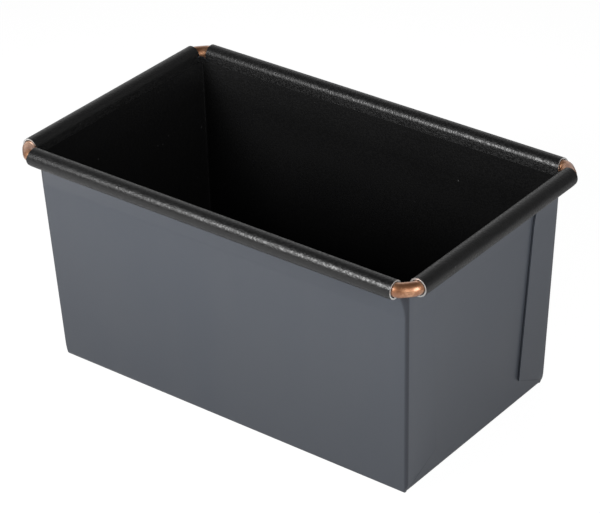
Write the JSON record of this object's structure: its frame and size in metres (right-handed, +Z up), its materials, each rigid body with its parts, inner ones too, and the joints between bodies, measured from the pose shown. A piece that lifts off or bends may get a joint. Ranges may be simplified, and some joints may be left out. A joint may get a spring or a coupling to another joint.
{
  "type": "loaf pan",
  "caption": "Deep rectangular loaf pan folded from one steel sheet, its top edges rolled outward round a stiffening wire that is bare at the corners, with a black non-stick inside.",
  "frame": {"origin": "middle of the underside, on the surface the pan rests on", "axes": "+X along the length, +Y from the front long wall to the back one, +Z up out of the open top"},
  "size_m": [0.1536, 0.0938, 0.0784],
  "materials": {
    "lacquered_steel": "satin blue-grey lacquer on sheet steel",
    "filmed_steel": "fine-grained black non-stick film on sheet steel",
    "nonstick_film": "satin black with fine light specks",
    "copper_plated_wire": "copper-plated steel, drawn and scuffed"
  },
  "bodies": {
    "root": {"base_panel": "lacquered_steel", "front_wall": "lacquered_steel", "back_wall": "lacquered_steel", "left_end_wall": "lacquered_steel", "right_end_wall": "lacquered_steel", "front_left_tab": "lacquered_steel", "front_right_tab": "lacquered_steel", "back_left_tab": "lacquered_steel", "back_right_tab": "lacquered_steel", "front_roll": "filmed_steel", "back_roll": "filmed_steel", "left_roll": "filmed_steel", "right_roll": "filmed_steel", "rim_wire": "copper_plated_wire", "nonstick_film": "nonstick_film"}
  },
  "joints": []
}
